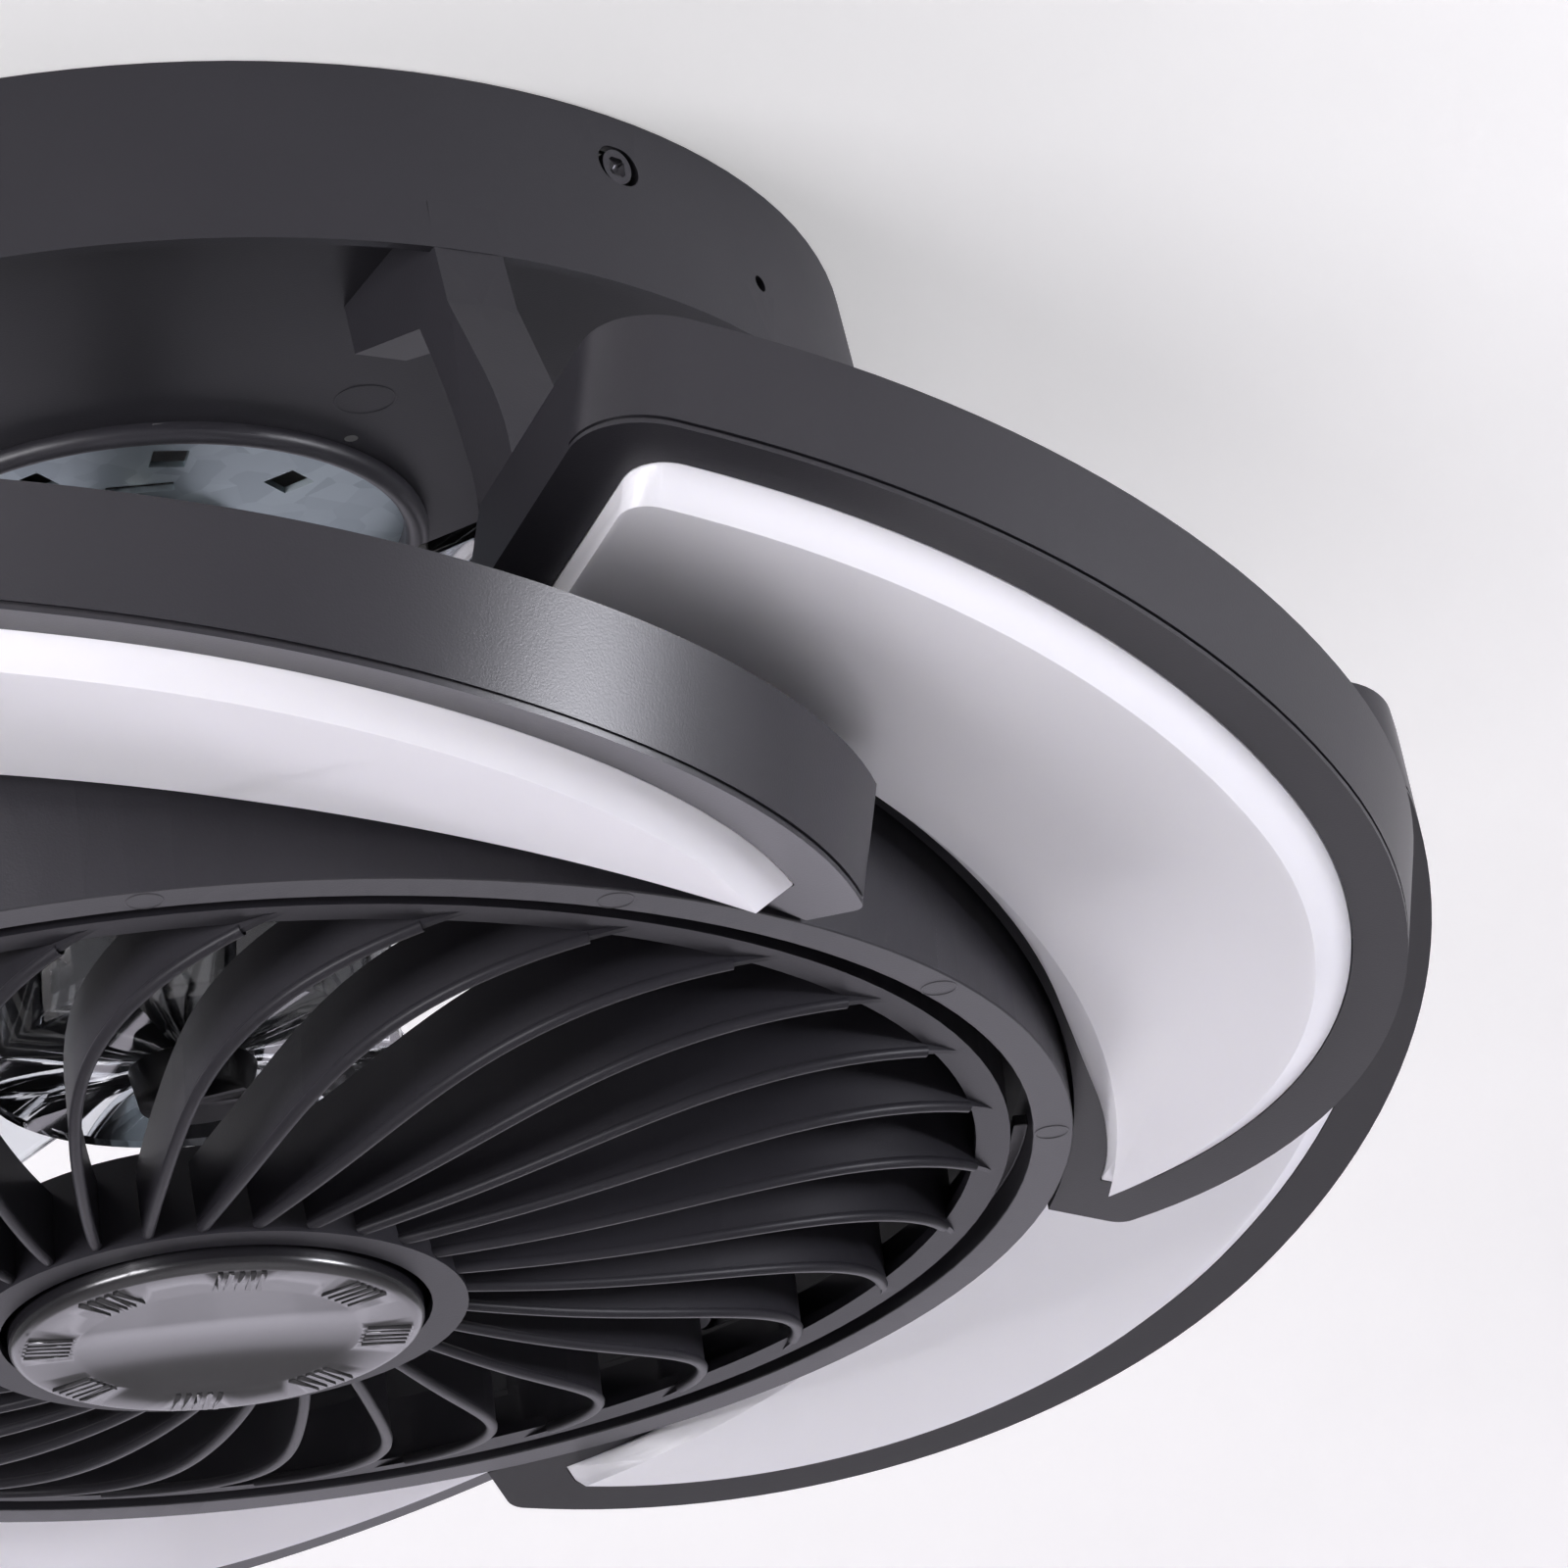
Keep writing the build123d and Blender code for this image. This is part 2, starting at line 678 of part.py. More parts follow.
# Duct ring: outer wall, top flange, lit ring face and the grille's ledges
ledge_inner_radius = collar_radius - ledge_reach
ledge_width = ledge_reach + wall / 2
ledge_spacing = 360 / ledge_count
lug_start = ledge_arc - lug_arc - lug_end_gap
with BuildPart() as duct_ring:
    with BuildSketch(Plane.XZ):
        with BuildLine():
            Polyline(
                (duct_throat_radius, -duct_top_depth),
                (duct_outer_radius, -duct_top_depth),
                (duct_outer_radius, -duct_bottom_depth),
                (collar_radius, -duct_bottom_depth),
                (collar_radius, -duct_bottom_depth + collar_height),
                (collar_radius + wall, -duct_bottom_depth + collar_height),
                (collar_radius + wall, -duct_bottom_depth + wall),
                (duct_inner_radius, -duct_bottom_depth + wall),
                (duct_inner_radius, -duct_top_depth - wall),
                (duct_throat_radius, -duct_top_depth - wall),
                (duct_throat_radius, -duct_top_depth),
            )
        make_face()
    revolve(axis=Axis.Z)
    for i in range(ledge_count):
        with BuildSketch(side_plane(i * ledge_spacing)):
            with Locations((ledge_inner_radius, -ledge_depth)):
                Rectangle(ledge_width, ledge_thickness, align=(Align.MIN, Align.MAX))
        revolve(axis=Axis.Z, revolution_arc=ledge_arc)
        with BuildSketch(side_plane(lug_start + i * ledge_spacing - 2 * stop_arc)):
            with Locations((ledge_inner_radius, -ledge_depth - ledge_thickness / 2)):
                Rectangle(ledge_width, ledge_thickness / 2 + stop_height, align=(Align.MIN, Align.MIN))
        revolve(axis=Axis.Z, revolution_arc=stop_arc)
    for azimuth in arm_azimuths:
        with Locations(polar(arm_outer_radius - arm_foot_length / 2, azimuth, -duct_top_depth)):
            Cylinder(screw_shank_radius + screw_hole_clearance, 3 * wall, mode=Mode.SUBTRACT)
    for number in range(petal_count):
        for azimuth in petal_screw_azimuths:
            with BuildSketch(petal_screw_place(azimuth, number * 360 / petal_count)):
                Circle(screw_shank_radius + screw_hole_clearance)
            extrude(amount=2 * wall, both=True, mode=Mode.SUBTRACT)
save(duct_ring.part, "duct_ring")

arm_screw_length = wall + arm_pilot_depth - arm_screw_end_gap
with BuildPart() as arm_screws:
    for azimuth in arm_azimuths:
        with Locations(polar(arm_outer_radius - arm_foot_length / 2, azimuth, -duct_top_depth - wall)):
            Cylinder(screw_head_radius, screw_head_height, align=(Align.CENTER, Align.CENTER, Align.MAX))
            Cylinder(screw_shank_radius, arm_screw_length, align=(Align.CENTER, Align.CENTER, Align.MIN))
save(arm_screws.part, "arm_screws")

# Conduit for the lamp leads
conduit_foot_radius = duct_throat_radius + duct_flange_width / 4
conduit_start = Vector(*polar(conduit_top_radius, conduit_azimuth, -floor_depth))
conduit_end = Vector(*polar(conduit_foot_radius, conduit_azimuth, -duct_top_depth))
conduit_axis = conduit_end - conduit_start
with BuildPart() as lead_conduit:
    with BuildSketch(Plane(origin=conduit_start, z_dir=conduit_axis).offset(-conduit_overrun)):
        Circle(conduit_radius)
    extrude(amount=conduit_axis.length + 2 * conduit_overrun)
    split(bisect_by=Plane.XY.offset(-floor_depth), keep=Keep.BOTTOM)
    split(bisect_by=Plane.XY.offset(-duct_top_depth), keep=Keep.TOP)
save(lead_conduit.part, "lead_conduit")

# Lamp petals: drawn on the tilted rim plane, with walls square to it
petal_side_centre = Vector(*polar(petal_side_offset, petal_side_azimuth))
petal_tail_centre = petal_side_centre + Vector(
    *polar(petal_side_radius - petal_tail_radius, petal_tail_azimuth)
)


def line_to_circle(start, azimuth, centre, radius):
    """Where a line from a point, at an azimuth, leaves a circle."""
    way = Vector(*polar(1, azimuth))
    offset = start - centre
    along = offset.dot(way)
    return start + way * ((radius**2 - offset.dot(offset) + along**2) ** 0.5 - along)


def azimuth_about(centre, point):
    """The azimuth of a point as seen from a centre."""
    return Vector(1, 0, 0).get_signed_angle(point - centre, Vector(0, 0, 1))


def petal_block(margins, corners, low, high):
    """The petal less its side, start, tip and inner margins, between two levels."""
    side, start, tip, inner = margins
    start_corner, tip_corner = corners
    start_line = Vector(*polar(start, petal_start_azimuth + 90))
    tip_line = Vector(*polar(tip, petal_tip_azimuth - 90))
    side_radius = petal_side_radius - side
    tail_radius = petal_tail_radius - side
    start_point = line_to_circle(start_line, petal_start_azimuth, petal_side_centre, side_radius)
    tip_point = line_to_circle(tip_line, petal_tip_azimuth, petal_tail_centre, tail_radius)
    first = azimuth_about(petal_side_centre, start_point)
    last = azimuth_about(petal_tail_centre, tip_point)
    level = petal_rim_plane.offset(low)
    with BuildPart() as block:
        with BuildSketch(level) as outline:
            with BuildLine():
                CenterArc(petal_side_centre, side_radius, first, petal_tail_azimuth - first)
                CenterArc(petal_tail_centre, tail_radius, petal_tail_azimuth, last - petal_tail_azimuth)
                Polyline(
                    tip_point,
                    tip_line + Vector(*polar(petal_root_radius, petal_tip_azimuth)),
                    start_line + Vector(*polar(petal_root_radius, petal_start_azimuth)),
                    start_point,
                )
            make_face()
            for point, corner in ((start_point, start_corner), (tip_point, tip_corner)):
                fillet(outline.vertices().sort_by_distance(level.from_local_coords(point))[0], corner)
        extrude(amount=high - low)
        Cylinder(petal_inner_radius + inner, 4 * petal_axis_depth, mode=Mode.SUBTRACT)
    return block.part


def margins_all(margin):
    """The same margin on every side of the petal."""
    return (margin, margin, margin, margin)


mouth_margins = (petal_rim_width, petal_start_rim_width, petal_tip_rim_width, petal_inner_rim_width)
mouth_corners = (diffuser_start_corner, diffuser_tip_corner)
body = petal_block(margins_all(0), (petal_start_corner, petal_tip_corner), 0, petal_depth)
cavity_corners = (petal_start_corner - wall, petal_tip_corner - wall)
cavity = petal_block(margins_all(wall), cavity_corners, wall, petal_depth - wall)
mouth = petal_block(mouth_margins, mouth_corners, -wall, 2 * wall)
with BuildPart() as petal_shell:
    add(body)
    add(cavity, mode=Mode.SUBTRACT)
    add(mouth, mode=Mode.SUBTRACT)
    for azimuth in petal_screw_azimuths:
        with BuildSketch(petal_screw_place(azimuth).offset(duct_outer_radius - petal_screw_seat)):
            Circle(petal_boss_radius)
        extrude(amount=petal_gap + wall)
        with BuildSketch(petal_screw_place(azimuth)):
            Circle(screw_shank_radius)
        extrude(amount=petal_screw_length, mode=Mode.SUBTRACT)

# Opal diffuser: a tray that stands proud of the rim, its outer side sloped
diffuser_slopes = (diffuser_slope_width, diffuser_start_slope_width, diffuser_tip_slope_width, 0)
seat_margins = [margin + seat_gap for margin in mouth_margins]
face_margins = [margin + slope for margin, slope in zip(seat_margins, diffuser_slopes)]
face_corners = (diffuser_face_corner, diffuser_tip_corner)
hollow_margins = face_margins[:3] + [face_margins[3] + diffuser_wall]
seat_part = petal_block(seat_margins, mouth_corners, 0, diffuser_seat)
face_part = petal_block(face_margins, face_corners, -diffuser_drop, 0)
hollow = petal_block(hollow_margins, face_corners, -diffuser_drop + diffuser_wall, 2 * diffuser_seat)
petal_axis = Axis(origin=(0, 0, 0), direction=petal_normal)
with BuildPart() as diffuser:
    add(seat_part)
    loft([seat_part.faces().sort_by(petal_axis)[0], face_part.faces().sort_by(petal_axis)[0]], ruled=True)
    add(hollow, mode=Mode.SUBTRACT)

board_top = petal_depth - wall
board_low = board_top - led_board_thickness
board_corners = (petal_start_corner - board_margin, diffuser_tip_corner)
led_board = petal_block(margins_all(board_margin), board_corners, board_low, board_top)

for number in range(petal_count):
    turn = number * 360 / petal_count
    save(petal_shell.part.rotate(Axis.Z, turn), f"petal_shell_{number + 1}")
    save(diffuser.part.rotate(Axis.Z, turn), f"diffuser_{number + 1}")
    save(led_board.rotate(Axis.Z, turn), f"led_board_{number + 1}")

# Grille: ring, skirt with bayonet lugs, swirled vanes and hub
ring_outer_radius = collar_radius - grille_ring_gap
ring_inner_radius = ring_outer_radius - grille_ring_width
skirt_inner_radius = ring_outer_radius - grille_skirt_wall
hub_top = -hub_face_depth + hub_height
hub_top_radius = hub_radius - hub_draft
vane_root_radius = hub_top_radius - wall / 2
vane_end_radius = ring_outer_radius - grille_skirt_wall / 2
lug_width = lug_reach + grille_skirt_wall / 2


def vane_edge(side):
    """Points along one side of a vane, in plan: an S-shaped swirl."""
    points = []
    for i in range(vane_curve_steps + 1):
        radius = vane_root_radius + (vane_end_radius - vane_root_radius) * i / vane_curve_steps
        t = (radius - vane_curve_start) / vane_curve_length
        bend = t * (1 - t) * (vane_bow + vane_sway * (2 * t - 1))
        azimuth = vane_root_azimuth + vane_sweep * t - bend
        points.append(polar(radius, azimuth + side * degrees(vane_thickness / 2 / radius))[:2])
    return points


with BuildPart() as grille:
    with BuildSketch(Plane.XY.offset(-hub_face_depth)) as vane:
        with BuildLine():
            near = vane_edge(-1)
            far = vane_edge(1)
            Spline(*near)
            Spline(*far)
            Line(near[0], far[0])
            Line(near[-1], far[-1])
        make_face()
    vane_blank = extrude(amount=2 * hub_height, mode=Mode.PRIVATE)
    with BuildSketch(Plane.XZ):
        with BuildLine():
            ThreePointArc(
                (vane_root_radius, -vane_root_depth),
                (vane_middle_radius, -vane_middle_depth),
                (vane_end_radius, -vane_rim_depth),
            )
            Line((vane_end_radius, -vane_rim_depth), (vane_end_radius, -vane_rim_depth + vane_depth))
            ThreePointArc(
                (vane_end_radius, -vane_rim_depth + vane_depth),
                (vane_middle_radius, -vane_middle_depth + vane_depth),
                (vane_root_radius, -vane_root_depth + vane_depth),
            )
            Polyline(
                (vane_root_radius, -vane_root_depth + vane_depth),
                (0, -vane_root_depth + vane_depth),
                (0, -vane_root_depth),
                (vane_root_radius, -vane_root_depth),
            )
        make_face()
    vane_band = revolve(axis=Axis.Z, mode=Mode.PRIVATE)
    one_vane = vane_blank & vane_band
    with Locations(*[Location((0, 0, 0), (0, 0, i * 360 / vane_count)) for i in range(vane_count)]):
        add(one_vane)
    with BuildSketch(Plane.XZ):
        with BuildLine():
            Polyline(
                (ring_inner_radius, -grille_face_depth),
                (ring_outer_radius, -grille_face_depth),
                (ring_outer_radius, -grille_face_depth + grille_skirt_height),
                (skirt_inner_radius, -grille_face_depth + grille_skirt_height),
                (skirt_inner_radius, -grille_face_depth + wall),
                (ring_inner_radius, -grille_face_depth + wall),
                (ring_inner_radius, -grille_face_depth),
            )
        make_face()
        with BuildLine():
            face_inner = hub_radius - hub_face_width
            Polyline(
                (face_inner, -hub_face_depth),
                (hub_radius, -hub_face_depth),
                (hub_top_radius, hub_top),
                (hub_top_radius - wall, hub_top),
                (hub_top_radius - wall, -hub_plate_depth + wall),
                (0, -hub_plate_depth + wall),
                (0, -hub_plate_depth),
                (hub_radius - hub_wall_top, -hub_plate_depth),
                (hub_radius - hub_wall_foot, -hub_face_depth + wall),
                (face_inner, -hub_face_depth + wall),
                (face_inner, -hub_face_depth),
            )
        make_face()
    revolve(axis=Axis.Z)
    lug_low = -ledge_depth + seat_gap
    for i in range(ledge_count):
        with BuildSketch(side_plane(lug_start + i * ledge_spacing)):
            with Locations((skirt_inner_radius + grille_skirt_wall / 2, lug_low)):
                Rectangle(lug_width, lug_thickness, align=(Align.MIN, Align.MIN))
        revolve(axis=Axis.Z, revolution_arc=lug_arc)
save(grille.part, "grille")

# Glossy centre cap with groups of short ribs round a shallow recess
cap_radius = hub_radius - hub_face_width - cap_gap
cap_face_radius = cap_radius - cap_edge_round
cap_edge_inset = cap_edge_round * (1 - sin(radians(45)))
with BuildPart() as centre_cap:
    with BuildSketch(Plane.XZ):
        with BuildLine():
            Polyline(
                (0, -cap_face_depth + cap_recess_depth),
                (cap_recess_radius - cap_recess_depth, -cap_face_depth + cap_recess_depth),
                (cap_recess_radius, -cap_face_depth),
                (cap_face_radius, -cap_face_depth),
            )
            ThreePointArc(
                (cap_face_radius, -cap_face_depth),
                (cap_radius - cap_edge_inset, -cap_face_depth + cap_edge_inset),
                (cap_radius, -cap_face_depth + cap_edge_round),
            )
            Polyline(
                (cap_radius, -cap_face_depth + cap_edge_round),
                (cap_radius, -hub_plate_depth - seat_gap),
                (cap_radius - cap_wall, -hub_plate_depth - seat_gap),
                (cap_radius - cap_wall, -cap_face_depth + cap_face_wall),
                (0, -cap_face_depth + cap_face_wall),
                (0, -cap_face_depth + cap_recess_depth),
            )
        make_face()
    revolve(axis=Axis.Z)
    rib_middle = (cap_recess_radius + cap_face_radius) / 2
    first_rib = -cap_rib_pitch * (cap_ribs_per_group - 1) / 2
    rib_offsets = [first_rib + i * cap_rib_pitch for i in range(cap_ribs_per_group)]
    with BuildSketch(Plane.XY.offset(-cap_face_depth)):
        with PolarLocations(rib_middle, cap_rib_groups, start_angle=cap_rib_start):
            with Locations(*[(0, offset) for offset in rib_offsets]):
                Rectangle(cap_rib_length, cap_rib_width)
    extrude(amount=-cap_rib_height)
save(centre_cap.part, "centre_cap")

# Electrics on the canopy floor, beside the bracket
across = bracket_azimuth + 90


def floor_case(size, azimuth, name):
    """A moulded case that stands on the canopy floor, long side tangential."""
    length, depth, height = size
    centre_radius = motor_plate_radius + electrics_margin + depth / 2
    with BuildPart() as case:
        place = polar(centre_radius, azimuth, -floor_top_depth)
        with BuildSketch(Plane(origin=place, x_dir=polar(1, azimuth))):
            RectangleRounded(depth, length, case_corner)
        extrude(amount=height)
        chamfer(case.faces().sort_by(Axis.Z)[-1].edges(), case_chamfer)
    save(case.part, name)


floor_case(driver_size, across, "led_driver")
floor_case(receiver_size, across + 180, "receiver_box")
floor_case(terminal_size, across + terminal_turn, "terminal_block")

# Screws through the duct wall into the petals
with BuildPart() as petal_screws:
    for number in range(petal_count):
        for azimuth in petal_screw_azimuths:
            place = petal_screw_place(azimuth, number * 360 / petal_count)
            with BuildSketch(place):
                Circle(screw_head_radius)
            extrude(amount=-screw_head_height)
            with BuildSketch(place):
                Circle(screw_shank_radius)
            extrude(amount=petal_screw_length - wall)
save(petal_screws.part, "petal_screws")
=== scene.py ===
"""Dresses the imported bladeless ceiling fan: surfaces, stage, lights and camera."""

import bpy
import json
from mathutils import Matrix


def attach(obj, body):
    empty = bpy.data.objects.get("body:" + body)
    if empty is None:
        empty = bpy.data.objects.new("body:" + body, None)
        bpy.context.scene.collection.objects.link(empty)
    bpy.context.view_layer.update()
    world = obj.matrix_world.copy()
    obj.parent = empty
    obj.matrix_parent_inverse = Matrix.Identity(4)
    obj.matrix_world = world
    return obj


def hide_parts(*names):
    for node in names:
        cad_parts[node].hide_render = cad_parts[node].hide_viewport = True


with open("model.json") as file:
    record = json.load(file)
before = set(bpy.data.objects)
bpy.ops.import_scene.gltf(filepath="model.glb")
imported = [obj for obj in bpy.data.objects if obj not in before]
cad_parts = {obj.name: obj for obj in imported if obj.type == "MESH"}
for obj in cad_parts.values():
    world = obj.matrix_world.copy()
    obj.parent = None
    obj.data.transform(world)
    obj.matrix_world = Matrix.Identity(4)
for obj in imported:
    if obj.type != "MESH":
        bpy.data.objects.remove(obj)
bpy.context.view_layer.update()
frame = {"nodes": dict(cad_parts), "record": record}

import json
import math

import bmesh
import bpy
from mathutils import Matrix, Vector

MM = 0.001
NODES = frame["nodes"]
SLOT_OF_NODE = {part["node"]: part["material_slot"] for part in frame["record"]["subparts"]}
BODY_OF_NODE = {
    node: body
    for body, nodes in frame["record"]["behaviour"]["bodies"].items()
    for node in nodes
}

# The colour sockets of a Mix node, whose names the node gives more than once.
MIX_FACTOR = 0
MIX_FIRST = 6
MIX_SECOND = 7
MIX_RESULT = 2


def linear(hex_colour):
    """An sRGB hex colour as linear RGBA."""
    channels = [int(hex_colour[i : i + 2], 16) / 255 for i in (1, 3, 5)]
    return [c / 12.92 if c <= 0.04045 else ((c + 0.055) / 1.055) ** 2.4 for c in channels] + [1.0]


def add_node(tree, kind, inputs=None, **settings):
    """One node: settings are its properties, inputs are values or the sockets that feed it."""
    made = tree.nodes.new(kind)
    for name, value in settings.items():
        setattr(made, name, value)
    for name, value in (inputs or {}).items():
        if isinstance(value, bpy.types.NodeSocket):
            tree.links.new(value, made.inputs[name])
        else:
            made.inputs[name].default_value = value
    return made


def new_material(name):
    """An empty node material and its tree."""
    made = bpy.data.materials.new(name)
    made.use_nodes = True
    made.node_tree.nodes.clear()
    return made, made.node_tree


def grain(tree, size_mm, detail=2.0):
    """Noise on object coordinates whose blobs are about size_mm across."""
    place = add_node(tree, "ShaderNodeTexCoord")
    noise = add_node(
        tree,
        "ShaderNodeTexNoise",
        {"Vector": place.outputs["Object"], "Scale": 1 / (size_mm * MM), "Detail": detail},
    )
    return noise.outputs["Fac"]


def between(pattern, dark, light):
    """A colour mix's inputs: a pattern and the two hex shades that it swings between."""
    return {MIX_FACTOR: pattern, MIX_FIRST: linear(dark), MIX_SECOND: linear(light)}


def finish_surface(tree, colour, relief, strength, relief_mm, **numbers):
    """A surface of a colour and a relief, with its plain numbers on the shader's own sockets."""
    bump = add_node(
        tree,
        "ShaderNodeBump",
        {"Height": relief, "Strength": strength, "Distance": relief_mm * MM},
    )
    plain = {name.replace("_", " "): value for name, value in numbers.items()}
    shader = add_node(
        tree,
        "ShaderNodeBsdfPrincipled",
        {"Base Color": colour, "Normal": bump.outputs["Normal"], **plain},
    )
    add_node(tree, "ShaderNodeOutputMaterial", {"Surface": shader.outputs[0]})


# The sizes of the patterns that several surfaces share, and the plastics' refraction.
PLASTIC_MOTTLE_MM = 40.0
FLOW_MM = 60.0
SCRATCH_MM = 1.5
METAL_RELIEF_MM = 0.05
PLASTIC_IOR = 1.53


def moulded_plastic(name, dark, light, roughness, grain_mm, bump_mm, specular=0.5):
    """Injection-moulded plastic: a near-even colour with the mould's fine spark grain."""
    made, tree = new_material(name)
    mottle = grain(tree, PLASTIC_MOTTLE_MM)
    shade = add_node(tree, "ShaderNodeMix", between(mottle, dark, light), data_type="RGBA")
    finish_surface(
        tree,
        shade.outputs[MIX_RESULT],
        grain(tree, grain_mm, detail=1.0),
        strength=0.5,
        relief_mm=bump_mm,
        Roughness=roughness,
        IOR=PLASTIC_IOR,
        Specular_IOR_Level=specular,
    )
    return made


def rolled_zinc(name, dark, light, spangle_mm, roughness):
    """Zinc on steel: flat crystals of slightly different greys."""
    made, tree = new_material(name)
    place = add_node(tree, "ShaderNodeTexCoord")
    spangle = add_node(
        tree,
        "ShaderNodeTexVoronoi",
        {"Vector": place.outputs["Object"], "Scale": 1 / (spangle_mm * MM)},
    )
    crystals = between(spangle.outputs["Color"], dark, light)
    shade = add_node(tree, "ShaderNodeMix", crystals, data_type="RGBA")
    finish_surface(
        tree,
        shade.outputs[MIX_RESULT],
        grain(tree, SCRATCH_MM, detail=4.0),
        strength=0.2,
        relief_mm=METAL_RELIEF_MM,
        Metallic=1.0,
        Roughness=roughness,
    )
    return made


def worked_metal(name, dark, light, grain_mm, roughness):
    """Bare or plated metal with a fine worked grain."""
    made, tree = new_material(name)
    marks = grain(tree, grain_mm, detail=3.0)
    shade = add_node(tree, "ShaderNodeMix", between(marks, dark, light), data_type="RGBA")
    finish_surface(
        tree,
        shade.outputs[MIX_RESULT],
        marks,
        strength=0.3,
        relief_mm=METAL_RELIEF_MM,
        Metallic=1.0,
        Roughness=roughness,
    )
    return made


def clear_styrene():
    """Clear styrene, moulded: glassy, with a faint cool tint and slight moulding flow."""
    made, tree = new_material("clear_styrene")
    finish_surface(
        tree,
        linear("#eef1f6"),
        grain(tree, FLOW_MM, detail=0.0),
        strength=0.2,
        relief_mm=0.4,
        Roughness=0.04,
        IOR=1.56,
        Transmission_Weight=1.0,
    )
    return made


def opal_acrylic():
    """Opal acrylic, moulded smooth: light sinks in a little, so edges glow and shade is soft."""
    made, tree = new_material("opal_acrylic")
    cloud = between(grain(tree, FLOW_MM), "#f0eff6", "#f4f3f8")
    shade = add_node(tree, "ShaderNodeMix", cloud, data_type="RGBA")
    shader = add_node(
        tree,
        "ShaderNodeBsdfPrincipled",
        {
            "Base Color": shade.outputs[MIX_RESULT],
            "Roughness": 0.32,
            "IOR": 1.49,
            "Subsurface Weight": 0.35,
            "Subsurface Radius": (0.006, 0.006, 0.007),
            "Subsurface Scale": 1.0,
        },
    )
    add_node(tree, "ShaderNodeOutputMaterial", {"Surface": shader.outputs[0]})
    return made


SURFACES = {
    # ABS from a spark-eroded mould: a satin charcoal that broad light turns grey.
    "charcoal_housing": moulded_plastic(
        "abs_charcoal_housing", "#262529", "#2b2a2e", 0.42, 0.5, 0.05, specular=0.34
    ),
    # The same ABS from a smoother mould, so the petals' walls take a soft highlight.
    "charcoal_petal": moulded_plastic(
        "abs_charcoal_petal", "#242327", "#29282c", 0.34, 0.45, 0.04, specular=0.38
    ),
    # The same ABS, matt: the vanes stay dark where they look down.
    "charcoal_grille": moulded_plastic(
        "abs_charcoal_grille", "#232226", "#28272b", 0.42, 0.5, 0.04, specular=0.15
    ),
    # Polished black ABS: it shows the pale room as a blurred sheen.
    "black_gloss": moulded_plastic(
        "abs_polished_black", "#151417", "#19181b", 0.24, 8.0, 0.02, specular=0.62
    ),
    # Hot-dip galvanised sheet: bluish, with faint spangle.
    "galvanised_steel": rolled_zinc("galvanised_sheet", "#a8b4ba", "#c4d0d4", 7.0, 0.45),
    # Bright zinc plating: a warm light grey with soft glints.
    "zinc_steel": worked_metal("zinc_plated_steel", "#b8b8b4", "#c9c8c2", 2.0, 0.3),
    # Blackened screws: dark grey metal with small glints on the head's edge.
    "black_screw": worked_metal("blackened_steel", "#4a494d", "#59585c", 1.0, 0.35),
    # Black enamel on a steel tube: near black, satin.
    "painted_tube": moulded_plastic("black_enamel_tube", "#141416", "#1a1a1c", 0.35, 1.0, 0.02),
    # Die-cast aluminium: dull and light, with a faint cast skin.
    "cast_aluminium": worked_metal("cast_aluminium", "#a9abae", "#bcbec0", 1.5, 0.5),
    # Solder mask: smooth dark green.
    "circuit_board": moulded_plastic("green_solder_mask", "#1e5a34", "#26693e", 0.35, 2.0, 0.02),
    # Ground bearing steel: bright and even.
    "bearing_steel": worked_metal("ground_steel", "#b5b6b8", "#c6c7c9", 0.5, 0.25),
    # Stamped laminations: dark grey metal.
    "lamination_steel": worked_metal("lamination_steel", "#4a4a4d", "#5a5a5d", 0.5, 0.45),
    # Enamelled winding wire: red-brown and shiny.
    "copper_winding": worked_metal("enamelled_copper", "#a0532a", "#b8683a", 0.8, 0.3),
    # Sintered ferrite: dull dark grey.
    "ferrite": moulded_plastic("sintered_ferrite", "#29292b", "#323234", 0.6, 0.4, 0.05),
    # Black enamel on the motor's can: near black, satin.
    "painted_can": moulded_plastic("black_enamel_can", "#161518", "#1c1b1e", 0.35, 1.0, 0.02),
    "clear_plastic": clear_styrene(),
    # Black nylon: dark and softly matt.
    "black_plastic": moulded_plastic("nylon_black", "#1b1a1d", "#201f22", 0.4, 0.6, 0.03),
    "opal_plastic": opal_acrylic(),
    # White lacquer on the lamps' boards: warm white, satin.
    "lamp_board": moulded_plastic("white_lacquered_board", "#dedcd4", "#e8e6de", 0.4, 1.0, 0.02),
    # White ABS cases: off-white, matt.
    "white_case": moulded_plastic("abs_white_case", "#d8d7d2", "#e0dfda", 0.45, 0.6, 0.03),
}

# The petals' rims lie on one tilted plane, turned round the axis sixty degrees at a time.
PETAL_COUNT = 6
PETAL_TURN = math.tau / PETAL_COUNT
RIM_PLANE_TILT = Vector((0.208, 0.1461, 1.0))
RIM_PLANE_LEVEL = -152.6 * MM
SIDE_CENTRE = Vector((44.5 * MM, -37.1 * MM, 0.0))
# The shadow line's heights above the rim, its depth, and how the inner wall is told apart.
GROOVE_LOW = 1.0 * MM
GROOVE_HIGH = 1.8 * MM
GROOVE_DEPTH = 0.8 * MM
INNER_WALL_RADIUS = 198 * MM
INNER_WALL_SQUARENESS = 0.7
# How far the diffuser stands proud, how widely it is rounded, and what tells its face apart.
DIFFUSER_DROP = 6.0 * MM
DIFFUSER_ROUND = 4.2 * MM
DIFFUSER_ROUND_STEPS = 10
DIFFUSER_FACE_MARGIN = 0.05 * MM
DIFFUSER_FACE_AREA = 0.003
DIFFUSER_CREASE = math.radians(15)
# What counts as doubled, flat, level, sharp, and sharp enough to ease.
MERGE_REACH = 0.002 * MM
FLAT_ANGLE = math.radians(0.2)
LEVEL_NORMAL = 0.999
SHARP_ANGLE = math.radians(28)
EASED_ANGLE = math.radians(40)


